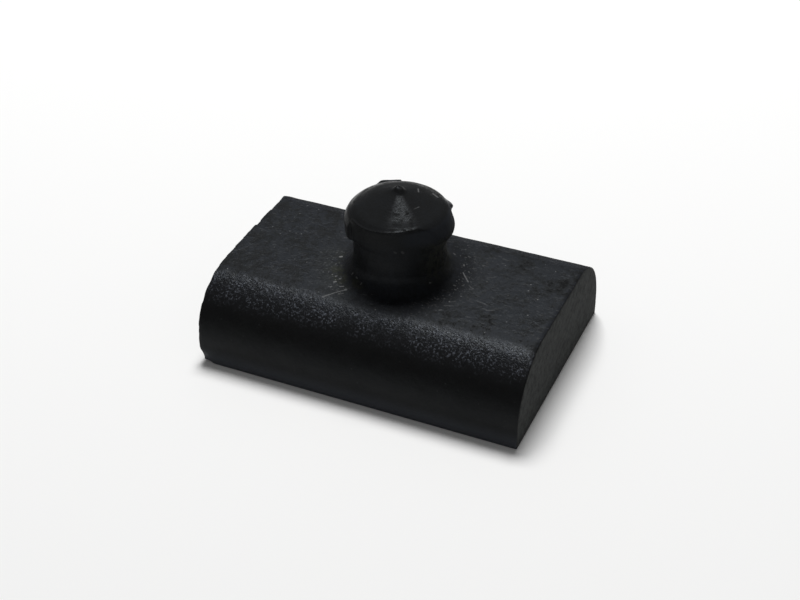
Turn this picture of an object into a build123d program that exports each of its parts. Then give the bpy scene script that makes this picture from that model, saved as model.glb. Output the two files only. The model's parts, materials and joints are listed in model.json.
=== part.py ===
import os

from build123d import *

# Block: an upright-sided length with a flat foot and broad round shoulders under a narrow flat crown.
block_length = 38.0
block_width = 25.8
block_height = 9.6
shoulder_radius = 6.8
foot_round = 0.5
end_edge_round = 0.25

# Stem: a plain neck that spreads into the crown.
stem_diameter = 10.3
stem_flare = 2.2

# Head: heights are above the foot. The rim stands out past the neck, and the cone starts inside the rim.
neck_top_height = 13.8
rim_height = 15.7
rim_overhang = 0.75
cone_base_height = 17.25
cone_setback = 0.275
head_round = 0.4
nib_base_height = 19.75
nib_diameter = 1.1
tip_height = 20.3

# Moulding tab: a torn sliver of the parting line at the back of the head, with one sloped corner.
tab_bearing = 128.0
tab_reach = 0.85
tab_span = 2.9
tab_slope = 1.1
tab_thickness = 0.25

stem_radius = stem_diameter / 2
stem_root_height = block_height / 2
rim_radius = stem_radius + rim_overhang
cone_base_radius = rim_radius - cone_setback
nib_radius = nib_diameter / 2
tab_end_radius = cone_base_radius + tab_reach
tab_half_span = tab_span / 2

with BuildPart() as seat_bumper:
    # The section of the block lies across its length.
    with BuildSketch(Plane.YZ) as section:
        Rectangle(block_width, block_height, align=(Align.CENTER, Align.MIN))
        fillet(section.vertices().group_by(Axis.Y)[-1], shoulder_radius)
        fillet(section.vertices().group_by(Axis.Y)[0], foot_round)
    extrude(amount=block_length / 2, both=True)
    faces_along = seat_bumper.faces().sort_by(Axis.X)
    fillet(faces_along[0].edges() + faces_along[-1].edges(), end_edge_round)

    # Neck, barb, cone and nib turn about the upright axis through the middle of the crown.
    with BuildSketch(Plane.XZ) as turning:
        with BuildLine():
            Polyline(
                (0, stem_root_height),
                (stem_radius, stem_root_height),
                (stem_radius, neck_top_height),
                (rim_radius, rim_height),
                (cone_base_radius, cone_base_height),
                (nib_radius, nib_base_height),
                (0, tip_height),
                close=True,
            )
        make_face()
        fillet(turning.vertices().sort_by(Axis.Y)[2:5], head_round)
    revolve(axis=Axis.Z)

    # The spread runs over the edge of the flat crown and part of the way down both shoulders.
    root = seat_bumper.edges(Select.LAST).filter_by(GeomType.CIRCLE).sort_by(Axis.Z)[0]
    fillet(root, stem_flare)

    # The tab lies just under the foot of the cone, its root inside the head.
    with BuildSketch(Plane.XY.offset(cone_base_height).rotated((0, 0, tab_bearing))):
        with BuildLine():
            Polyline(
                (0, -tab_half_span),
                (tab_end_radius, -tab_half_span),
                (tab_end_radius, tab_half_span - tab_slope),
                (cone_base_radius, tab_half_span),
                (0, tab_half_span),
                close=True,
            )
        make_face()
    extrude(amount=-tab_thickness)

seat_bumper.part.label = "seat_bumper"

os.makedirs("parts", exist_ok=True)
export_step(seat_bumper.part, "parts/seat_bumper.step")
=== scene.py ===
"""Push-in rubber seat bumper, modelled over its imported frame."""

import contextlib
import json
import math
from types import SimpleNamespace

import bmesh
import bpy
from bpy.props import FloatProperty, FloatVectorProperty, IntProperty, PointerProperty
from mathutils import Matrix, Vector

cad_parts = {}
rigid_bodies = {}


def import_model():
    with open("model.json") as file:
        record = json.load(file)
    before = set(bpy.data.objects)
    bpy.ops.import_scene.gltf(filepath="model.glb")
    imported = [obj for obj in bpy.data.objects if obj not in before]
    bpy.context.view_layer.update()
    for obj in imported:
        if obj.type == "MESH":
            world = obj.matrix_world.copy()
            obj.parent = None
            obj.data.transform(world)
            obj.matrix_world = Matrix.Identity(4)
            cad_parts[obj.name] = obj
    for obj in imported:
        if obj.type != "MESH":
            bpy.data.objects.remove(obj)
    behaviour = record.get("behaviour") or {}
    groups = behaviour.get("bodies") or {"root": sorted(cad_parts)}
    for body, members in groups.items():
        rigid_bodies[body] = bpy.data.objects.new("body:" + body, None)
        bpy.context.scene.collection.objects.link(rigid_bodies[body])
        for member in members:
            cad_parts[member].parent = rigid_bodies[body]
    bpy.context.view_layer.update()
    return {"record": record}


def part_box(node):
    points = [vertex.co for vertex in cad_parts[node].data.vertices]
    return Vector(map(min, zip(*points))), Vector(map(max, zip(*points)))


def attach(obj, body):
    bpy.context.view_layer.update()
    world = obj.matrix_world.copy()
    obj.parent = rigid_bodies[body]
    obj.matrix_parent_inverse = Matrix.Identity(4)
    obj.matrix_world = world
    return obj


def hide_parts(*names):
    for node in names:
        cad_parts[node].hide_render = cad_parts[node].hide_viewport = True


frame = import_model()

bl_info = {
    "name": "Rubber seat bumper",
    "version": (1, 0, 0),
    "blender": (4, 5, 0),
    "location": "View3D > Sidebar > Bumper",
    "description": "Models a push-in rubber seat bumper and its studio stage",
    "category": "Add Mesh",
}

MM = 0.001
NODE = "seat_bumper"
PIECE = "rubber_bumper"
LOW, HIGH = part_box(NODE)
MOUNTS = {mount["name"]: mount for mount in frame["record"]["mounts"]}
CROWN_HEIGHT = MOUNTS["crown_seat"]["pos_m"][2]
NECK_RADIUS = MOUNTS["push_in_stem"]["dims"]["r_mm"] * MM
TIP_HEIGHT = HIGH.z


def length(name, description, default):
    """A length in metres for the sidebar."""
    return FloatProperty(
        name=name, description=description, default=default, min=0.0,
        unit="LENGTH", subtype="DISTANCE", precision=5,
    )


def angle(name, description, degrees):
    """An angle for the sidebar, given in degrees."""
    return FloatProperty(
        name=name, description=description, default=math.radians(degrees),
        unit="ROTATION", subtype="ANGLE",
    )


def share(name, description, default):
    """A plain share or strength."""
    return FloatProperty(name=name, description=description, default=default, min=0.0)


def colour(name, description, default):
    """A linear colour for the sidebar."""
    return FloatVectorProperty(
        name=name, description=description, default=default, size=3,
        min=0.0, max=1.0, subtype="COLOR",
    )


class BlockSizes(bpy.types.PropertyGroup):
    """Sizes of the pad."""

    length: length("Length", "Length of the pad", HIGH.x - LOW.x)
    width: length("Width", "Width of the pad", HIGH.y - LOW.y)
    height: length("Height", "Height of the crown above the foot", CROWN_HEIGHT)
    shoulder: length("Shoulder radius", "Round between a side and the crown", 6.8 * MM)
    foot_round: length("Foot round", "Round along the foot", 0.12 * MM)
    foot_spread: length("Foot spread", "How far the sides spread at the foot", 0.22 * MM)
    end_round: length("End round", "Round at the cut ends", 0.12 * MM)


class StemSizes(bpy.types.PropertyGroup):
    """Sizes of the neck, barb and cone."""

    neck: length("Neck radius", "Radius of the plain neck", NECK_RADIUS)
    flare: length("Flare", "Radius of the spread at the neck's foot", 2.2 * MM)
    root_spread: length("Root spread", "How far the spread runs on under the surface", 0.65 * MM)
    root_drop: length("Root drop", "How deep that run goes", 0.4 * MM)
    root_depth: length("Root depth", "Depth of the stem's root in the pad", 2.5 * MM)
    neck_top: length("Neck top", "Height where the rim's underside starts", 14.75 * MM)
    rim_low: length("Rim foot", "Height of the rim's lower edge", 14.9 * MM)
    rim_taper: length("Rim taper", "How much narrower the rim is at its lower edge", 0.08 * MM)
    rim_height: length("Rim height", "Height of the barb's rim", 15.93 * MM)
    rim_overhang: length("Rim overhang", "How far the rim stands out past the neck", 0.90 * MM)
    cone_height: length("Cone foot", "Height where the cone starts", 17.61 * MM)
    cone_setback: length("Cone setback", "How far the cone's foot lies inside the rim", 0.68 * MM)
    head_round: length("Head round", "Round of the barb's edges", 0.35 * MM)
    cone_round: length("Cone round", "Round between the cone and the rim's side", 2.0 * MM)
    rim_tilt: angle("Rim tilt", "Slant of the rim, lower on the right", 5.6)
    edge_tilt: angle("Edge tilt", "How far the rim's lower edge slants the other way", -2.6)
    level_from: length("Level from", "Height where the slant starts to fade", 16.3 * MM)
    level_to: length("Level to", "Height where the slant is gone", 17.5 * MM)
    trim_from: angle("Trim from", "Bearing where the trimmed part of the rim starts", -134.0)
    trim_to: angle("Trim to", "Bearing where the trimmed part of the rim ends", -8.0)
    trim_foot: length("Trim foot", "Height where the trimming starts", 13.4 * MM)
    trim_top: length("Trim top", "Height that the trimming clears", 18.6 * MM)
    trim_low: length("Trim radius low", "Radius left at the trimming's foot", 5.17 * MM)
    trim_high: length("Trim radius high", "Radius left at the trimming's top", 5.03 * MM)
    trim_fade: length(
        "Trim fade", "How far the trimming lets go at its right end, half as far at its left", 0.9 * MM,
    )
    trim_lean: FloatVectorProperty(
        name="Trim lean", description="How far the trimmed side leans over at its top",
        default=(-0.43 * MM, -0.45 * MM, 0.0), subtype="TRANSLATION", unit="LENGTH",
    )
    nib_height: length("Nib foot", "Height where the nib starts", 19.57 * MM)
    nib: length("Nib radius", "Radius of the nib's foot", 0.85 * MM)
    tip: length("Tip", "Height of the nib's tip", TIP_HEIGHT - 0.2 * MM)
    sides: IntProperty(name="Sides", description="Steps round the stem", default=160, min=24)


class FlashSizes(bpy.types.PropertyGroup):
    """Sizes of the torn moulding flash on the head."""

    bearing: angle("Tab bearing", "Direction of the tab from the stem's axis", 128.0)
    reach: length("Tab reach", "How far the tab reaches out from the stem's axis", 6.475 * MM)
    tab_height: length("Tab height", "Height of the tab's top", 17.25 * MM)
    short_side: length("Short side", "How much less the tab's right end stands out", 0.45 * MM)
    span: length("Tab span", "Width of the tab", 3.3 * MM)
    slope: length("Tab slope", "Drop of the tab's torn corner", 1.1 * MM)
    thickness: length("Tab thickness", "Thickness of the tab", 0.36 * MM)
    tear: length("Tear", "Unevenness of the torn edges", 0.03 * MM)
    burr_bearing: angle("Burr bearing", "Direction of the torn burr", 43.0)
    burr_height: length("Burr height", "Height of the torn burr", 16.5 * MM)
    burr_reach: length("Burr reach", "How far the burr stands out", 0.04 * MM)
    burr_span: length("Burr span", "Width of the burr", 1.3 * MM)
    seam: length("Seam radius", "Thickness of the burr along the trimmed edge", 0.13 * MM)
    lip_depth: length("Lip depth", "Thickness of the lip at the left end", 0.3 * MM)
    horn_rise: length("Corner rise", "How far the burr lifts the far left corner", 0.3 * MM)
    horn_reach: length("Corner reach", "How far the lifted corner spreads", 2.4 * MM)


class SkinSizes(bpy.types.PropertyGroup):
    """Sizes of the moulded skin's unevenness."""

    voxel: length("Skin step", "Step of the joined skin", 0.11 * MM)
    soften: IntProperty(name="Soften", description="Rounds of smoothing", default=2, min=0)
    blend: IntProperty(
        name="Blend", description="Rounds of smoothing at the foot of the flare", default=40, min=0,
    )
    wave_size: length("Wave size", "Size of the slow waves", 6.0 * MM)
    wave_depth: length("Wave depth", "Depth of the slow waves", 0.08 * MM)
    dimple_size: length("Dimple size", "Size of the dimples", 1.2 * MM)
    dimple_depth: length("Dimple depth", "Depth of the dimples", 0.035 * MM)
    grain_size: length("Grain size", "Size of the moulded grain", 0.42 * MM)
    grain_depth: length("Grain depth", "Depth of the moulded grain", 0.012 * MM)
    corner_wear: length("Corner wear", "How far the near left foot corner is worn back", 0.42 * MM)
    nick_size: length("Nick size", "Size of the nicks along the left end", 1.6 * MM)
    nick_depth: length("Nick depth", "Depth of the nicks along the left end", 0.18 * MM)
    triangles: IntProperty(name="Triangles", description="Most triangles", default=190000, min=1000)


class RubberLook(bpy.types.PropertyGroup):
    """Colours and finish of the worn rubber."""

    rubber: colour("Rubber", "Colour of the rubber", (0.0065, 0.0065, 0.0065))
    # Pale film colour; on the crown it also carries a painted bluish sheen, and on the neck painted fill
    # light in its shade.
    film_sheen_fill: colour("Bloom", "Pale film on the worn crown", (0.0118, 0.0131, 0.0162))
    # Dirt colour; on the right of the neck it is also painted fill light in the rim's shadow.
    dirt: colour("Dirt", "Colour of the dirt by the stem", (0.025, 0.026, 0.018))
    dust: colour("Dust", "Colour of the dust", (0.21, 0.212, 0.212))
    # Pale tone of the shoulders: scuffs, and also painted highlight glints on the near shoulder and
    # painted floor bounce near the foot.
    scuff_glint_bounce: colour("Scuff", "Colour of the scuffed shoulders", (0.097, 0.105, 0.124))
    cut: colour("Cut rubber", "Colour of the cut ends", (0.050, 0.052, 0.050))
    roughness: share("Roughness", "Roughness of the skin", 0.36)
    head_roughness: share("Head roughness", "Roughness of the head's skin", 0.78)
    rubbed_roughness: share("Rubbed roughness", "Roughness of the rubbed side of the cone", 0.40)
    far_roughness: share("Far edge roughness", "Roughness of the cone's smooth far edge", 0.30)
    wall_roughness: share("Rim roughness", "Roughness of the rim's upright wall", 0.50)
    upper_roughness: share("Upper roughness", "Roughness of the shoulders' upper part", 0.58)
    rubbed_bearing: angle("Rubbed side", "Bearing of the rubbed side of the cone", -62.0)
    worn_roughness: share("Worn roughness", "Roughness of the worn shoulders", 0.30)
    dull: share("Dull roughness", "Roughness of dust and cut rubber", 0.85)
    specular: share("Specular", "Strength of the sheen", 0.115)
    sheen_tint: colour("Sheen tint", "Colour of the sheen", (0.86, 0.94, 1.0))


class StageSizes(bpy.types.PropertyGroup):
    """Camera, light and floor."""

    azimuth: angle("Azimuth", "Camera's turn round the object", 24.844)
    elevation: angle("Elevation", "Camera's height above the horizon", 36.104)
    roll: angle("Roll", "Camera's roll", -1.003)
    distance: length("Distance", "Camera's distance", 165.75 * MM)
    aim_right: FloatProperty(
        name="Aim right", description="Aim point to the camera's right of the foot's middle",
        default=-0.187 * MM, unit="LENGTH", subtype="DISTANCE",
    )
    aim_up: length("Aim up", "Aim point above the foot's middle in the picture", 4.110 * MM)
    lens: FloatProperty(
        name="Lens", description="Focal length on a 36 mm sensor", default=64.815,
        unit="CAMERA",
    )
    box_height: length("Softbox height", "Height of the softbox", 650.0 * MM)
    box_left: length("Softbox left", "How far left of the object the softbox hangs", 95.0 * MM)
    box_back: length("Softbox back", "How far behind the object the softbox hangs", 245.0 * MM)
    box_width: length("Softbox width", "Width of the softbox", 280.0 * MM)
    box_depth: length("Softbox depth", "Depth of the softbox", 240.0 * MM)
    box_power: FloatProperty(
        name="Softbox power", description="Power of the softbox", default=4.8, unit="POWER",
    )
    window_at: FloatVectorProperty(
        name="Window", description="Middle of the low window behind the object",
        default=(-0.33, 0.68, 0.50), subtype="TRANSLATION", unit="LENGTH",
    )
    window_width: length("Window width", "Width of the window", 0.7)
    window_rise: length("Window rise", "Height of the window", 0.42)
    window_power: FloatProperty(
        name="Window power", description="Power of the window", default=0.22, unit="POWER",
    )
    window_light: colour("Window light", "Colour of the window's light", (0.82, 0.92, 1.0))
    fill: share("Fill", "Strength of the room's own light", 0.13)
    floor_glow: share("Floor glow", "Brightness that the floor shows by itself", 0.03)
    floor_size: length("Floor size", "Side of the floor", 3.0)
    floor: colour("Floor", "Colour of the floor", (0.90, 0.90, 0.895))


@contextlib.contextmanager
def editing(piece, mode="EDGE"):
    """Edit mode on one piece with nothing selected."""
    bpy.ops.object.select_all(action="DESELECT")
    piece.select_set(True)
    bpy.context.view_layer.objects.active = piece
    bpy.ops.object.mode_set(mode="EDIT")
    bpy.ops.mesh.select_mode(type=mode)
    bpy.ops.mesh.select_all(action="DESELECT")
    yield
    bpy.ops.object.mode_set(mode="OBJECT")


def pick_edges(piece, test):
    """Selects the edges whose two ends pass the test."""
    mesh = bmesh.from_edit_mesh(piece.data)
    for edge in mesh.edges:
        edge.select_set(test(edge.verts[0].co, edge.verts[1].co))
    bmesh.update_edit_mesh(piece.data)


def pick_points(piece, test):
    """Selects the points that pass the test."""
    mesh = bmesh.from_edit_mesh(piece.data)
    for point in mesh.verts:
        point.select_set(test(point.co))
    mesh.select_flush_mode()
    bmesh.update_edit_mesh(piece.data)


def pull(piece, test, value, reach, falloff="SMOOTH"):
    """Moves the points that pass the test, and less so those within reach of them."""
    with editing(piece, "VERT"):
        pick_points(piece, test)
        bpy.ops.transform.translate(
            value=value, use_proportional_edit=True,
            proportional_edit_falloff=falloff, proportional_size=reach,
        )


def near(a, b, slack=1e-6):
    """Whether two lengths are the same."""
    return abs(a - b) < slack


def new_box(name, size, centre):
    """A box of a given size, its place in its mesh."""
    bpy.ops.object.select_all(action="DESELECT")
    bpy.ops.mesh.primitive_cube_add(size=1.0, location=centre)
    piece = bpy.context.object
    piece.name = name
    bpy.ops.transform.resize(value=size)
    bpy.ops.object.transform_apply(location=True, rotation=True, scale=True)
    return piece


def apply_modifier(piece, kind, **settings):
    """Adds one modifier to a piece and applies it."""
    bpy.ops.object.select_all(action="DESELECT")
    piece.select_set(True)
    bpy.context.view_layer.objects.active = piece
    modifier = piece.modifiers.new(kind.title(), kind)
    for key, value in settings.items():
        setattr(modifier, key, value)
    if bpy.ops.object.modifier_apply(modifier=modifier.name) != {"FINISHED"}:
        raise RuntimeError(f"the {kind} modifier could not be applied")


def ramp(value, low, high):
    """Smooth rise from 0 at low to 1 at high."""
    part = min(max((value - low) / (high - low), 0.0), 1.0)
    return part * part * (3 - 2 * part)


def rounded(corners, steps):
    """A profile of (radius, height) points with its corners rounded."""
    profile = []
    for index, (at, radius) in enumerate(corners):
        if not radius:
            profile.append(at)
            continue
        back = (corners[index - 1][0] - at).normalized()
        ahead = (corners[index + 1][0] - at).normalized()
        half = back.angle(ahead) / 2
        reach = radius / math.tan(half)
        centre = at + (back + ahead).normalized() * (radius / math.sin(half))
        first = at + back * reach - centre
        last = at + ahead * reach - centre
        turn = first.angle(last)
        for step in range(steps + 1):
            part = step / steps
            profile.append(
                centre
                + first * (math.sin((1 - part) * turn) / math.sin(turn))
                + last * (math.sin(part * turn) / math.sin(turn))
            )
    return profile


class BUMPER_OT_block(bpy.types.Operator):
    """Models the pad with its round shoulders"""

    bl_idname = "bumper.block"
    bl_label = "Pad"

    def execute(self, context):
        sizes = context.scene.bumper_block
        top, side, end = sizes.height, sizes.width / 2, sizes.length / 2
        block = new_box("pad", (sizes.length, sizes.width, top), (0, 0, top / 2))
        with editing(block, "VERT"):
            pick_points(block, lambda at: near(at.z, 0))
            spread = 1 + sizes.foot_spread / side
            bpy.ops.transform.resize(value=(1, spread, 1), center_override=(0, 0, 0))
        with editing(block):
            pick_edges(block, lambda a, b: near(a.z, top) and near(b.z, top) and near(a.y, b.y))
            bpy.ops.mesh.bevel(offset=sizes.shoulder, segments=28, profile=0.5, affect="EDGES")
        with editing(block):
            pick_edges(block, lambda a, b: near(a.z, 0) and near(b.z, 0) and near(a.y, b.y))
            bpy.ops.mesh.bevel(offset=sizes.foot_round, segments=5, profile=0.5, affect="EDGES")
        with editing(block):
            pick_edges(block, lambda a, b: near(abs(a.x), end) and near(a.x, b.x))
            bpy.ops.mesh.bevel(offset=sizes.end_round, segments=3, profile=0.5, affect="EDGES")
        return {"FINISHED"}


# Shares of the nib's radius: its blunt end, the round there and the flat that closes it.
NIB_END_SHARE = 0.36
NIB_ROUND_SHARE = 0.45
NIB_FLAT_SHARE = 0.1
FLARE_STEPS = 14
CORNER_STEPS = 8


def stem_profile(stem, crown):
    """The stem's section as (radius, height) points from its root to its tip."""
    rim = stem.neck + stem.rim_overhang
    foot = stem.neck + stem.flare
    root = foot + stem.root_spread
    corners = [
        (Vector((root, crown - stem.root_depth)), 0),
        (Vector((root, crown - stem.root_drop)), 0),
        (Vector((foot, crown)), 0),
    ]
    for step in range(1, FLARE_STEPS):
        turn = math.pi / 2 * step / FLARE_STEPS
        corners.append((
            Vector((
                foot - stem.flare * math.sin(turn),
                crown + stem.flare * (1 - math.cos(turn)),
            )),
            0,
        ))
    corners += [
        (Vector((stem.neck, crown + stem.flare)), 0),
        (Vector((stem.neck, stem.neck_top)), stem.head_round / 2),
        (Vector((rim - stem.rim_taper, stem.rim_low)), stem.head_round / 2),
        (Vector((rim, stem.rim_height)), stem.head_round),
        (Vector((rim - stem.cone_setback, stem.cone_height)), stem.cone_round),
        (Vector((stem.nib, stem.nib_height)), stem.nib),
        (Vector((stem.nib * NIB_END_SHARE, stem.tip)), stem.nib * NIB_ROUND_SHARE),
        (Vector((stem.nib * NIB_FLAT_SHARE, stem.tip)), 0),
    ]
    return rounded(corners, CORNER_STEPS)


TRIM_STEPS = 64


def trim_rim(stem, sizes):
    """Cuts the near side of the rim back to the neck."""
    out = sizes.neck * 2
    tall = sizes.trim_top - sizes.trim_foot
    bpy.ops.object.select_all(action="DESELECT")
    bpy.ops.mesh.primitive_plane_add(size=1.0, rotation=(math.pi / 2, 0, 0))
    knife = bpy.context.object
    knife.name = "trim"
    bpy.ops.transform.resize(value=(out - sizes.trim_low, 1, tall))
    knife.location = ((out + sizes.trim_low) / 2, 0, sizes.trim_foot + tall / 2)
    bpy.ops.object.transform_apply(location=True, rotation=True, scale=True)
    with editing(knife, "VERT"):
        pick_points(knife, lambda at: at.z > sizes.trim_foot + tall / 2 and at.x < sizes.neck * 1.5)
        bpy.ops.transform.translate(value=(sizes.trim_high - sizes.trim_low, 0, 0))
    knife.matrix_world = Matrix.Rotation(sizes.trim_from, 4, "Z")
    bpy.ops.object.transform_apply(location=True, rotation=True, scale=True)
    with editing(knife, "FACE"):
        bpy.ops.mesh.select_all(action="SELECT")
        # With no window the spin runs the other way round.
        bpy.ops.mesh.spin(
            steps=TRIM_STEPS, angle=sizes.trim_from - sizes.trim_to, center=(0, 0, 0), axis=(0, 0, 1),
        )
        bpy.ops.mesh.select_all(action="SELECT")
        bpy.ops.mesh.normals_make_consistent(inside=False)
    with editing(knife, "VERT"):
        pick_points(knife, lambda at: at.z > sizes.trim_foot + tall / 2)
        bpy.ops.transform.translate(value=sizes.trim_lean)
    for turn, fade in ((sizes.trim_to, sizes.trim_fade), (sizes.trim_from, sizes.trim_fade / 2)):
        outward = Vector((math.cos(turn), math.sin(turn), 0))
        pull(
            knife, lambda at: (at.xy - outward.xy * sizes.neck).length < fade,
            outward * fade, fade * 3,
        )
    apply_modifier(stem, "BOOLEAN", operation="DIFFERENCE", object=knife, solver="EXACT")
    bpy.data.objects.remove(knife)


class BUMPER_OT_stem(bpy.types.Operator):
    """Models the neck, the barb and the cone, ring by ring"""

    bl_idname = "bumper.stem"
    bl_label = "Stem and head"

    def execute(self, context):
        sizes = context.scene.bumper_stem
        profile = stem_profile(sizes, context.scene.bumper_block.height)
        bpy.ops.object.select_all(action="DESELECT")
        bpy.ops.mesh.primitive_circle_add(
            vertices=sizes.sides, radius=profile[0].x, fill_type="NGON",
            location=(0, 0, profile[0].y),
        )
        stem = context.object
        stem.name = "stem"
        bpy.ops.object.transform_apply(location=True, rotation=True, scale=True)

        def slant(height):
            edge = sizes.edge_tilt * ramp(height, sizes.trim_foot, sizes.neck_top)
            part = ramp(height, sizes.rim_low, sizes.rim_height)
            level = 1 - ramp(height, sizes.level_from, sizes.level_to)
            return (edge + (sizes.rim_tilt - edge) * part) * level

        with editing(stem, "FACE"):
            bpy.ops.mesh.select_all(action="SELECT")
            for last, ring in zip(profile, profile[1:]):
                bpy.ops.mesh.extrude_region_move(
                    TRANSFORM_OT_translate={"value": (0, 0, ring.y - last.y)}
                )
                wide = ring.x / last.x
                bpy.ops.transform.resize(value=(wide, wide, 1), center_override=(0, 0, ring.y))
                turn = slant(ring.y) - slant(last.y)
                if turn:
                    bpy.ops.transform.rotate(
                        value=-turn, orient_axis="Y", center_override=(0, 0, ring.y),
                    )
            bpy.ops.mesh.select_all(action="SELECT")
            bpy.ops.mesh.normals_make_consistent(inside=False)

        trim_rim(stem, sizes)
        return {"FINISHED"}


# The seam lies this far up the trimming, and stops short of the trimming's right end.
SEAM_HEIGHT_SHARE = 0.78
SEAM_SHORT = math.radians(30)
SEAM_STEPS = 14
OVERHEAD = 1.0


def seam_curve(stem, sizes, radius):
    """The fine burr along the top edge of the trimmed side."""
    middle = Vector(sizes.trim_lean) * SEAM_HEIGHT_SHARE
    left = sizes.trim_low + (sizes.trim_high - sizes.trim_low) * SEAM_HEIGHT_SHARE - radius / 2
    until = sizes.trim_to - SEAM_SHORT
    bpy.ops.object.select_all(action="DESELECT")
    bpy.ops.curve.primitive_nurbs_path_add(location=(0, 0, 0))
    seam = bpy.context.object
    seam.name = "seam"
    line = seam.data.splines[0]
    line.points.add(SEAM_STEPS + 1 - len(line.points))
    for step, point in enumerate(line.points):
        turn = sizes.trim_from + (until - sizes.trim_from) * step / SEAM_STEPS
        above = middle + Vector((left * math.cos(turn), left * math.sin(turn), OVERHEAD))
        hit, place, _, _ = stem.ray_cast(above, (0, 0, -1))
        if not hit:
            raise RuntimeError("the seam does not lie over the head")
        point.co = (*place, 1.0)
    line.order_u = 3
    line.use_endpoint_u = True
    seam.data.bevel_depth = radius
    seam.data.bevel_resolution = 3
    seam.data.use_fill_caps = True
    bpy.ops.object.convert(target="MESH")


# How much of the burr's width and height is left at its torn edge.
BURR_EDGE_SHARES = (1, 0.5, 0.2)
TAB_CUTS = 3
TAB_SEED = 4


class BUMPER_OT_flash(bpy.types.Operator):
    """Models the torn moulding flash on the head"""

    bl_idname = "bumper.flash"
    bl_label = "Moulding flash"

    def execute(self, context):
        sizes = context.scene.bumper_flash
        stem = context.scene.bumper_stem
        cone = stem.neck + stem.rim_overhang - stem.cone_setback
        out = sizes.reach
        tab = new_box(
            "tab", (out, sizes.span, sizes.thickness),
            (out / 2, 0, sizes.tab_height - sizes.thickness / 2),
        )
        with editing(tab, "VERT"):
            bpy.ops.mesh.select_all(action="SELECT")
            bpy.ops.mesh.bisect(plane_co=(cone, 0, 0), plane_no=(1, 0, 0))
            pick_points(tab, lambda at: near(at.x, out) and at.y > 0)
            bpy.ops.transform.translate(value=(0, -sizes.slope, 0))
            pick_points(tab, lambda at: near(at.x, out) and at.y < 0)
            bpy.ops.transform.translate(value=(-sizes.short_side, 0, 0))
            bpy.ops.mesh.select_all(action="SELECT")
            bpy.ops.mesh.subdivide(number_cuts=TAB_CUTS)
            bpy.ops.mesh.select_all(action="DESELECT")
            pick_points(tab, lambda at: at.x > cone)
            bpy.ops.transform.vertex_random(
                offset=sizes.tear, uniform=1.0, normal=0.0, seed=TAB_SEED,
            )
        tab.matrix_world = Matrix.Rotation(sizes.bearing, 4, "Z")
        edge = stem.neck + stem.rim_overhang + sizes.burr_reach
        burr = new_box(
            "burr", (sizes.burr_span / 2, sizes.burr_span, sizes.burr_span),
            (edge - sizes.burr_span / 4, 0, sizes.burr_height),
        )
        with editing(burr, "VERT"):
            pick_points(burr, lambda at: near(at.x, edge))
            bpy.ops.transform.resize(
                value=BURR_EDGE_SHARES, center_override=(edge, 0, sizes.burr_height),
            )
        burr.matrix_world = Matrix.Rotation(sizes.burr_bearing, 4, "Z")
        seam_curve(bpy.data.objects["stem"], stem, sizes.seam)
        for piece in (tab, burr):
            bpy.ops.object.select_all(action="DESELECT")
            piece.select_set(True)
            context.view_layer.objects.active = piece
            bpy.ops.object.transform_apply(location=True, rotation=True, scale=True)
        return {"FINISHED"}


NOISE_DEPTH = 2


def noise_field(name, size):
    """A cloud pattern for the skin's unevenness."""
    field = bpy.data.textures.new(name, type="CLOUDS")
    field.noise_scale = size
    field.noise_depth = NOISE_DEPTH
    return field


def weigh(piece, name, weight):
    """A point group whose weights come from each point's place."""
    group = piece.vertex_groups.new(name=name)
    for point in piece.data.vertices:
        amount = weight(point.co)
        if amount > 0:
            group.add([point.index], amount, "REPLACE")
    return group


# Bands of the torn lip at the left end: places across, heights and reach, all in millimetres.
LIP_BANDS = (
    ((2.4, 4.9), (9.0, 9.8), 0.11),
    ((-1.5, 1.3), (9.0, 9.8), 0.05),
    ((-3.5, 1.3), (9.0, 9.8), 0.05),
    ((-5.5, 1.3), (9.0, 9.8), 0.05),
    ((-13.0, -9.0), (4.6, 6.9), 0.04),
)


def on_lip(at, block, depth, across, heights):
    """Whether a point of the left end lies on one band of its torn lip."""
    if not across[0] < at.y / MM < across[1] or not heights[0] < at.z / MM < heights[1]:
        return False
    beside = abs(at.y) - (block.width / 2 - block.shoulder)
    above = at.z - (block.height - block.shoulder)
    if above < 0:
        return block.shoulder - beside < depth
    if beside < 0:
        return block.shoulder - above < depth
    return block.shoulder - math.hypot(beside, above) < depth


# Zones of the skin in millimetres. Each pair is where a zone starts and where it is full.
FLARE_FOOT_OFFSET = 0.3
FLARE_FOOT_REACH = (1.8, 0.9)
FLARE_FOOT_LOW = (6.0, 7.5)
FLARE_FOOT_HIGH = (11.4, 10.6)
TRIM_FOOT_REACH = (2.0, 3.4)
TRIM_FOOT_LOW = (12.6, 13.3)
TRIM_FOOT_HIGH = (15.6, 14.8)
SKIN_ABOVE_FOOT = (0.1, 1.2)
NICKS_ABOVE_FOOT = (0.3, 1.2)
NICKS_FROM_END = (0.5, 0.1)
LIP_FROM_END = 0.2
# The lifted corner's place down the shoulder, as a share of its radius, and the spot that is pulled.
HORN_SHARE = 0.66
HORN_SPOT_SHARE = 1.5
# How far the worn corner moves along, across and up, and how far the wear spreads, as shares of the wear.
WEAR_SHARES = (1.0, 0.4, 0.4)
WEAR_SPREAD_SHARE = 4
SMOOTHING = 0.5


def zone(value, span):
    """Smooth rise of a length over a pair of places in millimetres."""
    return ramp(value, span[0] * MM, span[1] * MM)


def join_pieces(names, joined):
    """Joins the named objects into the first of them and renames it."""
    bpy.ops.object.select_all(action="DESELECT")
    piece = bpy.data.objects[names[0]]
    for name in names:
        bpy.data.objects[name].select_set(True)
    bpy.context.view_layer.objects.active = piece
    bpy.ops.object.join()
    piece.name = joined
    piece.data.name = joined
    return piece


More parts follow.
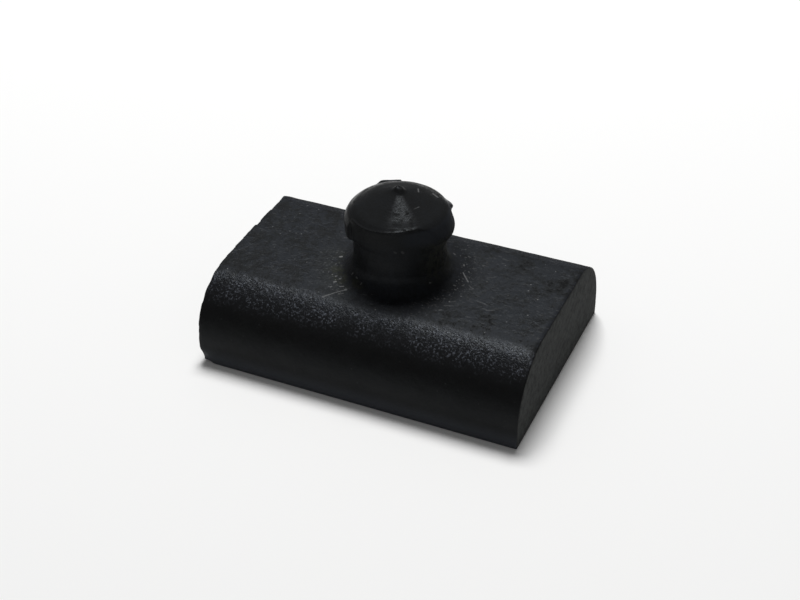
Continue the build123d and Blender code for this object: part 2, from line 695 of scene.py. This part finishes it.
def blend_feet(piece, stem, rounds):
    """Smooths the flare into the pad, and the trimmed side into the neck."""
    foot = stem.neck + stem.flare
    middle = (stem.trim_from + stem.trim_to) / 2

    def flare_foot(at):
        apart = abs(math.hypot(at.x, at.y) - foot - FLARE_FOOT_OFFSET * MM)
        return zone(apart, FLARE_FOOT_REACH) * zone(at.z, FLARE_FOOT_LOW) * zone(at.z, FLARE_FOOT_HIGH)

    def trim_foot(at):
        out = at.x * math.cos(middle) + at.y * math.sin(middle)
        return zone(out, TRIM_FOOT_REACH) * zone(at.z, TRIM_FOOT_LOW) * zone(at.z, TRIM_FOOT_HIGH)

    for name, weight in (("flare_foot", flare_foot), ("trim_foot", trim_foot)):
        weigh(piece, name, weight)
        apply_modifier(
            piece, "SMOOTH", factor=SMOOTHING, iterations=rounds, vertex_group=name,
        )


def wear_left_end(piece, block, flash, wear):
    """Lifts the far corner of the left end, wears its near foot and tears its lip."""
    end = block.length / 2
    horn = Vector((-end, block.width / 2 - HORN_SHARE * block.shoulder, block.height))
    pull(
        piece, lambda at: (at - horn).length < flash.horn_rise * HORN_SPOT_SHARE,
        (-flash.horn_rise / 2, 0, flash.horn_rise), flash.horn_reach, "SHARP",
    )
    corner = Vector((-end, -block.width / 2, 0))
    pull(
        piece, lambda at: (at - corner).length < wear,
        [wear * part for part in WEAR_SHARES], wear * WEAR_SPREAD_SHARE,
    )
    for across, heights, reach in LIP_BANDS:
        with editing(piece, "VERT"):
            pick_points(
                piece, lambda at: at.x < -end + LIP_FROM_END * MM
                and on_lip(at, block, flash.lip_depth, across, heights),
            )
            bpy.ops.transform.translate(value=(-reach * MM, 0, 0))


def roughen(piece, sizes, end):
    """Gives the skin its waves, dimples, grain and nicks."""
    weigh(piece, "above_foot", lambda at: zone(at.z, SKIN_ABOVE_FOOT))
    inner, outer = (end - place * MM for place in NICKS_FROM_END)
    weigh(
        piece, "left_edge",
        lambda at: ramp(-at.x, inner, outer) * zone(at.z, NICKS_ABOVE_FOOT),
    )
    fields = (
        ("waves", sizes.wave_size, sizes.wave_depth, "above_foot"),
        ("dimples", sizes.dimple_size, sizes.dimple_depth, "above_foot"),
        ("grain", sizes.grain_size, sizes.grain_depth, "above_foot"),
        ("nicks", sizes.nick_size, sizes.nick_depth, "left_edge"),
    )
    for name, size, depth, group in fields:
        field = noise_field(name, size)
        apply_modifier(
            piece, "DISPLACE", texture=field, texture_coords="LOCAL",
            strength=depth, mid_level=0.5, vertex_group=group,
        )
        bpy.data.textures.remove(field)
    piece.vertex_groups.clear()


def thin(piece, most):
    """Brings a piece down to a number of triangles."""
    count = sum(len(face.vertices) - 2 for face in piece.data.polygons)
    if count > most:
        apply_modifier(piece, "DECIMATE", ratio=most / count)


class BUMPER_OT_skin(bpy.types.Operator):
    """Joins pad, stem and flash into one moulded skin and wears it"""

    bl_idname = "bumper.skin"
    bl_label = "Moulded skin"

    def execute(self, context):
        scene = context.scene
        sizes = scene.bumper_skin
        block = scene.bumper_block
        piece = join_pieces(("pad", "stem", "tab", "burr", "seam"), PIECE)
        apply_modifier(piece, "REMESH", mode="VOXEL", voxel_size=sizes.voxel, adaptivity=0.0)
        apply_modifier(piece, "SMOOTH", factor=SMOOTHING, iterations=sizes.soften)
        blend_feet(piece, scene.bumper_stem, sizes.blend)
        wear_left_end(piece, block, scene.bumper_flash, sizes.corner_wear)
        roughen(piece, sizes, block.length / 2)
        thin(piece, sizes.triangles)
        bpy.ops.object.shade_smooth()
        piece.data.materials.clear()
        piece.data.materials.append(rubber_material(scene.bumper_look))
        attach(piece, "root")
        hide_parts(NODE)
        return {"FINISHED"}


# The part of a streak's half width that has its full strength.
STREAK_CORE_SHARE = 0.35


class Shader:
    """Adds shader nodes and wires them together."""

    def __init__(self, name):
        self.material = bpy.data.materials.new(name)
        self.material.use_nodes = True
        self.tree = self.material.node_tree
        self.tree.nodes.clear()

    def node(self, kind, inputs=None, **settings):
        """A node with its settings, its inputs set or wired."""
        made = self.tree.nodes.new(kind)
        for key, value in settings.items():
            setattr(made, key, value)
        for key, value in (inputs or {}).items():
            if isinstance(value, bpy.types.NodeSocket):
                self.tree.links.new(value, made.inputs[key])
            else:
                made.inputs[key].default_value = value
        return made

    def math(self, operation, *values):
        """A sum on one or more values."""
        made = self.node(
            "ShaderNodeMath", dict(enumerate(values)), operation=operation,
        )
        return made.outputs[0]

    def fold(self, operation, values):
        """One operation carried through all the values."""
        total = values[0]
        for value in values[1:]:
            total = self.math(operation, total, value)
        return total

    def product(self, *values):
        """All the values multiplied."""
        return self.fold("MULTIPLY", values)

    def total(self, *values):
        """All the values added."""
        return self.fold("ADD", values)

    def most(self, *values):
        """The largest of the values."""
        return self.fold("MAXIMUM", values)

    def rest(self, value):
        """What a value leaves of one."""
        return self.math("SUBTRACT", 1.0, value)

    def stretched(self, place, scale):
        """A place with each axis scaled by its own amount."""
        return self.node("ShaderNodeMapping", {"Vector": place, "Scale": scale}).outputs[0]

    def rise(self, value, low, high, start=0.0, end=1.0):
        """A smooth rise of a value between two levels."""
        made = self.node(
            "ShaderNodeMapRange",
            {0: value, 1: low, 2: high, 3: start, 4: end},
            interpolation_type="SMOOTHSTEP",
        )
        return made.outputs[0]

    def noise(self, place, scale, detail=2.0, roughness=0.5):
        """A cloud pattern between 0 and 1."""
        made = self.node(
            "ShaderNodeTexNoise",
            {"Vector": place, "Scale": scale, "Detail": detail, "Roughness": roughness},
        )
        return made.outputs["Fac"]

    def cells(self, place, scale, output="Distance"):
        """A cell pattern."""
        made = self.node("ShaderNodeTexVoronoi", {"Vector": place, "Scale": scale})
        return made.outputs[output]

    def streak(self, place, start, end, width):
        """A mark along a line between two places, fading at its sides."""
        run = Vector(end) - Vector(start)
        from_start = self.node(
            "ShaderNodeVectorMath", {0: place, 1: start}, operation="SUBTRACT",
        ).outputs[0]
        along = self.node(
            "ShaderNodeVectorMath", {0: from_start, 1: run / run.length_squared},
            operation="DOT_PRODUCT",
        ).outputs["Value"]
        part = self.node("ShaderNodeClamp", {0: along}).outputs[0]
        foot = self.node(
            "ShaderNodeVectorMath", {0: run, "Scale": part}, operation="SCALE",
        ).outputs[0]
        apart = self.node(
            "ShaderNodeVectorMath", {0: from_start, 1: foot}, operation="DISTANCE",
        ).outputs["Value"]
        return self.rise(apart, width, width * STREAK_CORE_SHARE)

    def mix(self, share_of, first, second):
        """One colour laid over another."""
        made = self.node(
            "ShaderNodeMix", {0: share_of, 6: first, 7: second}, data_type="RGBA",
        )
        return made.outputs[2]

    def blend(self, share_of, first, second):
        """A value between two others."""
        made = self.node("ShaderNodeMix", {0: share_of, 2: first, 3: second})
        return made.outputs[0]


# Marks in the rubber: start, end, half width, all in millimetres, and how pale the mark is.
MARKS = (
    ((-5.65, -8.10, 9.32), (-3.90, -6.45, 9.59), 0.11, 0.52),
    ((-3.76, -6.32, 9.60), (-3.66, -6.26, 9.60), 0.17, 0.76),
    ((-4.16, -7.17, 9.51), (-3.72, -6.95, 9.55), 0.10, 0.36),
    ((-7.05, -0.81, 9.62), (-6.90, -0.75, 9.62), 0.20, 0.80),
    ((-5.86, -4.40, 9.60), (-5.76, -4.32, 9.60), 0.15, 0.56),
    ((-5.21, -4.70, 9.62), (-5.11, -4.60, 9.64), 0.16, 0.64),
    ((-5.51, -5.44, 9.60), (-5.41, -5.30, 9.60), 0.17, 0.72),
    ((-4.55, -5.95, 9.60), (-4.19, -5.83, 9.60), 0.13, 0.60),
    ((-5.52, -6.40, 9.60), (-5.42, -6.30, 9.60), 0.13, 0.48),
    ((-3.90, -4.22, 10.30), (-3.84, -4.14, 10.42), 0.14, 0.44),
    ((-3.16, -4.70, 10.42), (-2.96, -4.80, 10.38), 0.13, 0.36),
    ((-2.28, -5.40, 10.15), (-2.22, -5.30, 10.28), 0.11, 0.28),
    ((6.84, 1.67, 9.62), (7.98, 0.33, 9.60), 0.10, 0.46),
    ((6.30, 3.20, 9.62), (6.42, 2.96, 9.62), 0.13, 0.37),
    ((7.28, 2.16, 9.60), (7.40, 2.06, 9.60), 0.11, 0.28),
    ((6.15, 4.96, 9.60), (6.27, 4.86, 9.60), 0.11, 0.22),
    ((8.28, 3.92, 9.60), (8.38, 3.82, 9.60), 0.12, 0.25),
    ((6.78, -0.98, 9.64), (7.00, -0.94, 9.64), 0.13, 0.28),
    ((7.66, -0.60, 9.60), (7.80, -0.36, 9.60), 0.10, 0.25),
    ((8.50, -0.42, 9.60), (9.00, -0.66, 9.60), 0.10, 0.25),
    ((6.14, -4.00, 9.60), (6.26, -3.84, 9.60), 0.11, 0.22),
    ((7.26, -4.69, 9.60), (8.02, -4.44, 9.60), 0.09, 0.22),
    ((7.52, -3.98, 9.60), (8.10, -3.48, 9.60), 0.08, 0.19),
    ((7.10, -5.70, 9.60), (7.26, -5.54, 9.60), 0.13, 0.25),
    ((11.69, -3.78, 9.60), (12.45, -3.38, 9.60), 0.09, 0.25),
    ((10.27, -2.60, 9.60), (11.17, -2.70, 9.60), 0.08, 0.22),
    ((9.60, 1.79, 9.60), (10.43, 2.41, 9.60), 0.09, 0.15),
    ((4.74, -2.80, 10.62), (4.80, -2.70, 10.58), 0.14, 0.32),
    ((4.55, 4.54, 9.82), (4.71, 4.38, 9.78), 0.18, 0.24),
    ((1.12, 2.47, 18.68), (1.57, 1.57, 18.93), 0.12, 0.42),
    ((2.71, 2.88, 18.07), (3.27, 2.68, 17.94), 0.24, 0.49),
    ((1.70, -2.55, 18.51), (2.66, -0.78, 18.65), 0.09, 0.21),
    ((-0.40, -5.14, 16.00), (-0.30, -5.16, 15.90), 0.14, 0.15),
    ((1.62, -4.90, 15.12), (1.74, -4.86, 15.02), 0.17, 0.10),
    ((2.36, -4.62, 15.10), (2.46, -4.56, 15.00), 0.19, 0.13),
)
# Olive dirt left of the stem: start, end, half width, all in millimetres.
STAINS = (
    ((-3.30, -5.10, 10.15), (-2.40, -5.60, 9.95), 0.65),
    ((-6.40, -3.00, 9.60), (-4.90, -4.90, 9.62), 1.10),
)


def rgba(values):
    """A colour with full opacity."""
    return (*values, 1.0)


# Zones of the rubber's finish. Each pair is where a zone starts and where it is full: heights and radii
# in millimetres, and tilts as the share of the surface's direction that points up or sideways.
PICTURE_RIGHT = (0.91, 0.42)
AXIS_RADIUS = 0.6
HEAD_HEIGHTS = (13.2, 14.0)
CONE_HEIGHTS = (17.1, 17.5)
CROWN_TILT = (0.80, 0.98)
CROWN_RADII = (6.0, 7.5)
SHOULDER_SIDE = (0.18, 0.36)
SHOULDER_TILT = (0.55, 0.84)
SHOULDER_RADII = (7.6, 9.4)
CUT_TILT = (0.75, 0.95)
CUT_ENDS = (18.0, 18.6)
WORN_EDGE = (18.3, 18.8)
RING_RADII = (10.5, 7.0)
RING_HEIGHTS = (12.0, 10.0)
FOOT_RADII = (6.2, 7.2)
LEFT_FOOT_ALONG = (-2.5, -4.5)
LEFT_FOOT_ACROSS = (1.5, -0.5)
RIGHT_FOOT_ALONG = (3.0, 6.0)
STEM_SHADE_RADII = (6.8, 10.0)
STEM_SHADE_RIGHT = (2.5, -1.0)
NECK_RIGHT = (1.5, 4.0)
NECK_RADII = (6.6, 5.9)
NECK_LOW = (9.9, 11.0)
NECK_HIGH = (16.5, 14.5)
RUNS_FILL_RADII = (9.8, 8.4)
RUNS_FILL_HIGH = (16.6, 14.6)
RUNS_FILL_FADE = (12.5, 10.4)
RIM_LOW = (15.0, 16.2)
RIM_HIGH = (17.6, 17.1)
RIM_RIGHT = (-0.5, 1.5)
RIM_DULL_RIGHT = (2.8, 5.2)
FOOT_LIGHT_HEIGHTS = (2.4, 0.0)
FOOT_LIGHT_SIDE = (0.5, 0.8)
UPPER_SIDE = (0.02, 0.10)
UPPER_TILT = (0.80, 0.93)
FAR_SIDE = (0.05, 0.40)
PATCHES_RIGHT = (2.0, 6.0)
RUBBED_SIDE = (0.88, 0.995)
RUBBED_TIP = (0.9, 0.5)
RUBBED_BROKEN = (1.3, 2.2)
RUBBED_FOOT = (4.4, 3.7)
RUBBED_SEAM = (4.55, 4.75)
FAR_EDGE_HEIGHTS = (15.9, 16.6)
FAR_EDGE_SIDE = (0.1, -0.3)
FAR_EDGE_RADII = (3.0, 4.4)
TURNING_STEP = 0.32
BUMP_DEPTH = 0.09 * MM


def rubber_zones(sh, look):
    """Places on the bumper in millimetres, and its zones as values between 0 and 1."""
    coords = sh.node("ShaderNodeTexCoord")
    place = sh.node(
        "ShaderNodeVectorMath", {0: coords.outputs["Object"], "Scale": 1 / MM}, operation="SCALE",
    ).outputs[0]
    x, y, z = sh.node("ShaderNodeSeparateXYZ", {0: place}).outputs
    endways, away, up = sh.node("ShaderNodeSeparateXYZ", {0: coords.outputs["Normal"]}).outputs
    flat = sh.node("ShaderNodeCombineXYZ", {0: x, 1: y}).outputs[0]
    radius = sh.node("ShaderNodeVectorMath", {0: flat}, operation="LENGTH").outputs["Value"]
    sideways = sh.math("ABSOLUTE", away)
    bearing = look.rubbed_bearing
    toward = sh.total(sh.product(x, math.cos(bearing)), sh.product(y, math.sin(bearing)))
    on_head = sh.rise(z, *HEAD_HEIGHTS)
    off_head = sh.rest(on_head)
    ring = sh.product(sh.rise(radius, *RING_RADII), sh.rise(z, *RING_HEIGHTS))
    return SimpleNamespace(
        place=place, x=x, z=z, away=away, up=up, sideways=sideways, radius=radius,
        right=sh.total(sh.product(x, PICTURE_RIGHT[0]), sh.product(y, PICTURE_RIGHT[1])),
        side=sh.math("DIVIDE", toward, sh.most(radius, AXIS_RADIUS)),
        on_head=on_head, off_head=off_head,
        on_cone=sh.rise(z, *CONE_HEIGHTS),
        crown=sh.product(sh.rise(up, *CROWN_TILT), off_head),
        shoulder=sh.product(
            sh.rise(sideways, *SHOULDER_SIDE), sh.rise(up, *SHOULDER_TILT), off_head,
            sh.rise(radius, *SHOULDER_RADII),
        ),
        cut_end=sh.product(
            sh.rise(sh.math("ABSOLUTE", endways), *CUT_TILT),
            sh.rise(sh.math("ABSOLUTE", x), *CUT_ENDS),
        ),
        left_foot=sh.product(
            ring, sh.rise(x, *LEFT_FOOT_ALONG), sh.rise(radius, *FOOT_RADII),
            sh.rise(y, *LEFT_FOOT_ACROSS),
        ),
        right_foot=sh.product(ring, sh.rise(x, *RIGHT_FOOT_ALONG), sh.rise(radius, *FOOT_RADII)),
    )


def rubber_patterns(sh, place):
    """Cloud patterns from fine to broad."""
    lumps = sh.noise(place, 1.6, 3.0, 0.6)
    blotch = sh.noise(place, 0.35, 4.0, 0.6)
    specks = sh.noise(place, 3.4, 3.0, 0.7)
    return SimpleNamespace(
        grain=sh.noise(place, 5.6, 2.0, 0.6), lumps=lumps, blotch=blotch, specks=specks,
        patches=sh.total(sh.product(blotch, 0.40), sh.product(lumps, 0.30), sh.product(specks, 0.30)),
    )


def pale_wear(sh, zones, clouds):
    """Dust by the stem, scuffs and spots on the crown, and the single marks."""
    place = zones.place
    marks = sh.most(*(
        sh.product(sh.streak(place, start, end, width), strength)
        for start, end, width, strength in MARKS
    ))
    marks = sh.product(marks, sh.rise(sh.noise(place, 5.0), 0.22, 0.50))
    dust = sh.product(
        sh.total(sh.product(zones.left_foot, 0.5), sh.product(zones.right_foot, 0.45)),
        sh.rise(clouds.specks, 0.57, 0.72),
    )
    scuffs = sh.noise(sh.stretched(place, (1.1, 4.6, 2.0)), 1.0, 3.0, 0.65)
    scuffed = sh.product(
        zones.crown, sh.rise(scuffs, 0.58, 0.72), sh.rise(clouds.blotch, 0.38, 0.56), 0.22,
    )
    cell_scale = 1.3
    seed = sh.node("ShaderNodeSeparateColor", {0: sh.cells(place, cell_scale, "Color")}).outputs[0]
    spots = sh.product(
        sh.rise(sh.cells(place, cell_scale), 0.15, 0.06), sh.rise(seed, 0.62, 0.80),
        sh.rise(clouds.blotch, 0.36, 0.52),
        sh.total(sh.product(zones.crown, 0.55), sh.product(zones.off_head, 0.06)),
    )
    return sh.most(dust, scuffed, spots, marks)


def stem_grime_and_fill(sh, zones, clouds):
    """Olive dirt by the stem's foot, and a lighter olive tone on the right of its neck that is partly
    dirt and partly painted fill light in the rim's shadow.
    """
    # Right side of the neck: partly dirt, partly painted fill light in the rim's shadow.
    neck = sh.product(
        sh.rise(zones.right, *NECK_RIGHT), sh.rise(zones.radius, *NECK_RADII),
        sh.rise(zones.z, *NECK_LOW), sh.rise(zones.z, *NECK_HIGH),
    )
    stains = (sh.streak(zones.place, *stain) for stain in STAINS)
    dirt_and_fill = sh.most(sh.product(zones.left_foot, 0.45), *stains, sh.product(neck, 0.8))
    return sh.product(dirt_and_fill, sh.rise(clouds.lumps, 0.36, 0.58), 0.7)


def outside_stem_shade(sh, zones):
    """Where the crown lies outside the painted shade on the stem's right and near side; inside it the
    film is left off.
    """
    return sh.most(sh.rise(zones.radius, *STEM_SHADE_RADII), sh.rise(zones.right, *STEM_SHADE_RIGHT))


def film_with_painted_light(sh, zones, clouds):
    """The thin pale film on the crown, the neck, the cone and the rim, with painted light in it: on the
    crown a painted bluish sheen, left off by the stem's right and near side as painted shade, and on the
    neck runs that are partly painted fill light.
    """
    # Crown film, partly a painted bluish sheen; it is left off near the stem's right and near side, which
    # paints the shade there.
    crown = sh.product(
        zones.crown, sh.rise(clouds.patches, 0.44, 0.55), sh.rise(zones.radius, *CROWN_RADII),
        outside_stem_shade(sh, zones),
    )
    # Pale runs down the neck and flare: partly streaks of film, partly painted fill light in their shade.
    streaks = sh.noise(sh.stretched(zones.place, (1.5, 1.5, 0.6)), 1.0, 4.0, 0.65)
    runs = sh.product(
        sh.rise(zones.radius, *RUNS_FILL_RADII), sh.rise(zones.z, *RUNS_FILL_HIGH),
        sh.rise(streaks, 0.34, 0.74, 0.3, 1.0), sh.rise(zones.z, *RUNS_FILL_FADE, 0.45, 1.0),
    )
    cone = sh.product(zones.on_cone, sh.rise(clouds.patches, 0.44, 0.58), 0.25)
    rim = sh.product(
        sh.rise(zones.z, *RIM_LOW), sh.rise(zones.z, *RIM_HIGH), sh.rise(zones.right, *RIM_RIGHT),
    )
    return sh.most(crown, runs, cone, rim)


def rubber_tint(sh, look, zones, clouds, pale, grime_and_fill):
    """The rubber's colour with its film, cut ends, pale shoulder marks, dirt and dust, and painted light:
    a bluish sheen in the crown's film, shade by the stem's foot, fill light in the neck's shade,
    highlight glints on the near shoulder and floor bounce at the foot.
    """
    # Lighter towards the foot of the sides: painted bounce light from the floor, partly dust.
    foot = sh.product(
        sh.rise(zones.z, *FOOT_LIGHT_HEIGHTS), sh.rise(zones.sideways, *FOOT_LIGHT_SIDE), 0.42,
    )
    # Pale specks on the shoulders: painted highlight glints in the softbox's highlight band, partly
    # scuffs; fainter on the far side.
    glints_and_scuffs = sh.product(
        zones.shoulder, sh.rise(zones.up, 0.58, 0.86, 0.15, 1.0),
        sh.rise(sh.noise(zones.place, 3.7, 3.0, 0.7), 0.51, 0.66),
        sh.rise(sh.noise(zones.place, 0.55, 1.0), 0.28, 0.60, 0.25, 1.0),
        sh.rise(zones.away, 0.2, -0.2, 0.25, 1.0),
    )
    layers = (
        (film_with_painted_light(sh, zones, clouds), look.film_sheen_fill),
        (sh.product(zones.cut_end, sh.rise(clouds.lumps, 0.0, 0.8)), look.cut),
        (sh.most(glints_and_scuffs, foot, sh.product(zones.shoulder, 0.05)), look.scuff_glint_bounce),
        (grime_and_fill, look.dirt),
        (pale, look.dust),
    )
    tint = rgba(look.rubber)
    for cover, tone in layers:
        tint = sh.mix(cover, tint, rgba(tone))
    return tint


def head_roughness(sh, look, zones, clouds):
    """Dull head with a rubbed wedge on its near side and a smooth far edge."""
    rubbed = sh.product(
        zones.on_cone,
        sh.most(sh.rise(zones.side, *RUBBED_SIDE), sh.rise(zones.radius, *RUBBED_TIP)),
        sh.blend(sh.rise(zones.radius, *RUBBED_BROKEN), 1.0, sh.rise(clouds.lumps, 0.34, 0.52)),
        sh.rise(clouds.specks, 0.25, 0.55, 0.35, 1.0),
        sh.most(sh.rise(zones.radius, *RUBBED_FOOT, 0.35, 1.0), sh.rise(zones.radius, *RUBBED_SEAM)),
    )
    far_edge = sh.product(
        sh.rise(zones.z, *FAR_EDGE_HEIGHTS), sh.rise(zones.side, *FAR_EDGE_SIDE),
        sh.rise(zones.radius, *FAR_EDGE_RADII), sh.rise(clouds.patches, 0.40, 0.52, 0.5, 1.0),
    )
    wall = sh.blend(sh.rise(zones.right, *RIM_DULL_RIGHT), look.wall_roughness, look.dull)
    head = sh.blend(zones.on_cone, wall, look.head_roughness)
    head = sh.blend(rubbed, head, look.rubbed_roughness)
    return sh.blend(far_edge, head, look.far_roughness)


def rubber_roughness(sh, look, zones, clouds, pale, grime_and_fill):
    """The rubber's roughness: worn on the shoulders, dull on dust, dirt, the neck's painted fill and cut
    rubber, and where it is turned away.
    """
    uneven = sh.total(sh.product(clouds.blotch, 0.6), sh.product(clouds.lumps, 0.4))
    skin = sh.blend(sh.rise(uneven, 0.35, 0.65), look.roughness - 0.03, look.roughness + 0.12)
    upper = sh.product(
        sh.rise(zones.sideways, *UPPER_SIDE), sh.rise(zones.up, *UPPER_TILT), zones.off_head,
    )
    dulled = sh.most(
        # The painted shade zone by the stem is made dull as well.
        sh.rest(outside_stem_shade(sh, zones)),
        sh.product(sh.rise(clouds.patches, 0.47, 0.40), sh.rise(zones.right, *PATCHES_RIGHT, 0.35, 1.0)),
    )
    edge = sh.product(
        zones.crown, sh.rise(zones.x, *WORN_EDGE), sh.rise(clouds.specks, 0.30, 0.50),
    )
    layers = (
        (upper, look.upper_roughness),
        (sh.product(zones.crown, dulled), look.dull),
        (zones.shoulder, look.worn_roughness),
        (sh.rise(zones.away, *FAR_SIDE), look.dull),
        (zones.on_head, head_roughness(sh, look, zones, clouds)),
        (sh.most(zones.cut_end, pale, grime_and_fill, edge), look.dull),
    )
    for cover, roughness in layers:
        skin = sh.blend(cover, skin, roughness)
    return skin


def rubber_bump(sh, zones, clouds):
    """Moulded grain, lumps and the turning marks of the cone."""
    turning = sh.product(
        sh.math("SINE", sh.product(zones.radius, 2 * math.pi / TURNING_STEP)), zones.on_cone, 0.015,
    )
    fine = sh.product(clouds.grain, sh.total(0.25, sh.product(zones.shoulder, 0.35)))
    broad = sh.product(clouds.lumps, sh.total(0.25, sh.product(zones.crown, 0.55)))
    return sh.node(
        "ShaderNodeBump",
        {"Strength": 1.0, "Distance": BUMP_DEPTH, "Height": sh.total(fine, broad, turning)},
    ).outputs[0]


def rubber_material(look):
    """Worn black rubber with a broken sheen, dust and cut ends."""
    sh = Shader("worn_black_rubber")
    zones = rubber_zones(sh, look)
    clouds = rubber_patterns(sh, zones.place)
    pale = pale_wear(sh, zones, clouds)
    grime_and_fill = stem_grime_and_fill(sh, zones, clouds)
    shader = sh.node(
        "ShaderNodeBsdfPrincipled",
        {
            "Base Color": rubber_tint(sh, look, zones, clouds, pale, grime_and_fill),
            "Roughness": rubber_roughness(sh, look, zones, clouds, pale, grime_and_fill),
            "Normal": rubber_bump(sh, zones, clouds),
            "Specular IOR Level": look.specular, "Specular Tint": rgba(look.sheen_tint),
        },
    )
    sh.node("ShaderNodeOutputMaterial", {"Surface": shader.outputs[0]})
    return sh.material


FLOOR_ROUGHNESS = 0.9
SENSOR_WIDTH = 36.0
CLIP_START = 0.01


def floor_material(stage):
    """Plain pale matt floor."""
    sh = Shader("pale_floor")
    rays = sh.node("ShaderNodeLightPath").outputs
    seen = sh.most(rays["Is Camera Ray"], rays["Is Glossy Ray"], rays["Is Transmission Ray"])
    shader = sh.node(
        "ShaderNodeBsdfPrincipled",
        {
            "Base Color": rgba(stage.floor), "Roughness": FLOOR_ROUGHNESS, "Specular IOR Level": 0.0,
            "Emission Color": rgba(stage.floor),
            "Emission Strength": sh.product(seen, stage.floor_glow),
        },
    )
    sh.node("ShaderNodeOutputMaterial", {"Surface": shader.outputs[0]})
    return sh.material


def area_lamp(name, location, size, power):
    """A flat lamp that faces the middle of the foot."""
    bpy.ops.object.light_add(type="AREA", location=location)
    lamp = bpy.context.object
    lamp.name = name
    lamp.data.shape = "RECTANGLE"
    lamp.data.size, lamp.data.size_y = size
    lamp.data.energy = power
    lamp.rotation_euler = lamp.location.to_track_quat("Z", "Y").to_euler()
    return lamp


class BUMPER_OT_stage(bpy.types.Operator):
    """Sets the floor, the softbox, the room's light and the camera"""

    bl_idname = "bumper.stage"
    bl_label = "Stage"

    def execute(self, context):
        scene = context.scene
        stage = scene.bumper_stage
        scene.view_settings.view_transform = "Standard"

        bpy.ops.object.select_all(action="DESELECT")
        bpy.ops.mesh.primitive_plane_add(size=stage.floor_size, location=(0, 0, 0))
        floor = context.object
        floor.name = "floor"
        floor.data.materials.append(floor_material(stage))

        area_lamp(
            "softbox", (-stage.box_left, stage.box_back, stage.box_height),
            (stage.box_width, stage.box_depth), stage.box_power,
        )
        window = area_lamp(
            "window", stage.window_at, (stage.window_width, stage.window_rise), stage.window_power,
        )
        window.data.color = stage.window_light

        world = bpy.data.worlds.new("room")
        scene.world = world
        world.use_nodes = True
        room = world.node_tree.nodes["Background"]
        room.inputs["Color"].default_value = (1.0, 1.0, 1.0, 1.0)
        room.inputs["Strength"].default_value = stage.fill

        turn = (
            Matrix.Rotation(stage.azimuth, 4, "Z")
            @ Matrix.Rotation(math.pi / 2 - stage.elevation, 4, "X")
            @ Matrix.Rotation(stage.roll, 4, "Z")
        )
        lens = bpy.data.cameras.new("camera")
        lens.sensor_fit = "HORIZONTAL"
        lens.sensor_width = SENSOR_WIDTH
        lens.lens = stage.lens
        lens.clip_start = CLIP_START
        camera = bpy.data.objects.new("camera", lens)
        scene.collection.objects.link(camera)
        offset = Vector((stage.aim_right, stage.aim_up, stage.distance))
        camera.matrix_world = turn @ Matrix.Translation(offset)
        scene.camera = camera
        return {"FINISHED"}


class BUMPER_PT_tools(bpy.types.Panel):
    """Lists the steps in order"""

    bl_idname = "BUMPER_PT_tools"
    bl_label = "Seat bumper"
    bl_space_type = "VIEW_3D"
    bl_region_type = "UI"
    bl_category = "Bumper"

    def draw(self, context):
        for name in GROUPS:
            box = self.layout.box()
            box.label(text=name.replace("_", " ").title())
            group = getattr(context.scene, name)
            for key in group.bl_rna.properties.keys():
                if key not in {"rna_type", "name"}:
                    box.prop(group, key)
        for step in STEPS:
            self.layout.operator(step.bl_idname)


GROUPS = {
    "bumper_block": BlockSizes,
    "bumper_stem": StemSizes,
    "bumper_flash": FlashSizes,
    "bumper_skin": SkinSizes,
    "bumper_look": RubberLook,
    "bumper_stage": StageSizes,
}
STEPS = (BUMPER_OT_block, BUMPER_OT_stem, BUMPER_OT_flash, BUMPER_OT_skin, BUMPER_OT_stage)
CLASSES = (*GROUPS.values(), *STEPS, BUMPER_PT_tools)


def register():
    """Registers the classes and the scene's groups of sizes."""
    for kind in CLASSES:
        bpy.utils.register_class(kind)
    for name, kind in GROUPS.items():
        setattr(bpy.types.Scene, name, PointerProperty(type=kind))


def unregister():
    """Takes the groups and the classes away again."""
    for name in GROUPS:
        delattr(bpy.types.Scene, name)
    for kind in reversed(CLASSES):
        bpy.utils.unregister_class(kind)


def main():
    """Models the bumper and its stage."""
    register()
    bpy.ops.bumper.block()
    bpy.ops.bumper.stem()
    bpy.ops.bumper.flash()
    bpy.ops.bumper.skin()
    bpy.ops.bumper.stage()


if __name__ == "__main__":
    main()
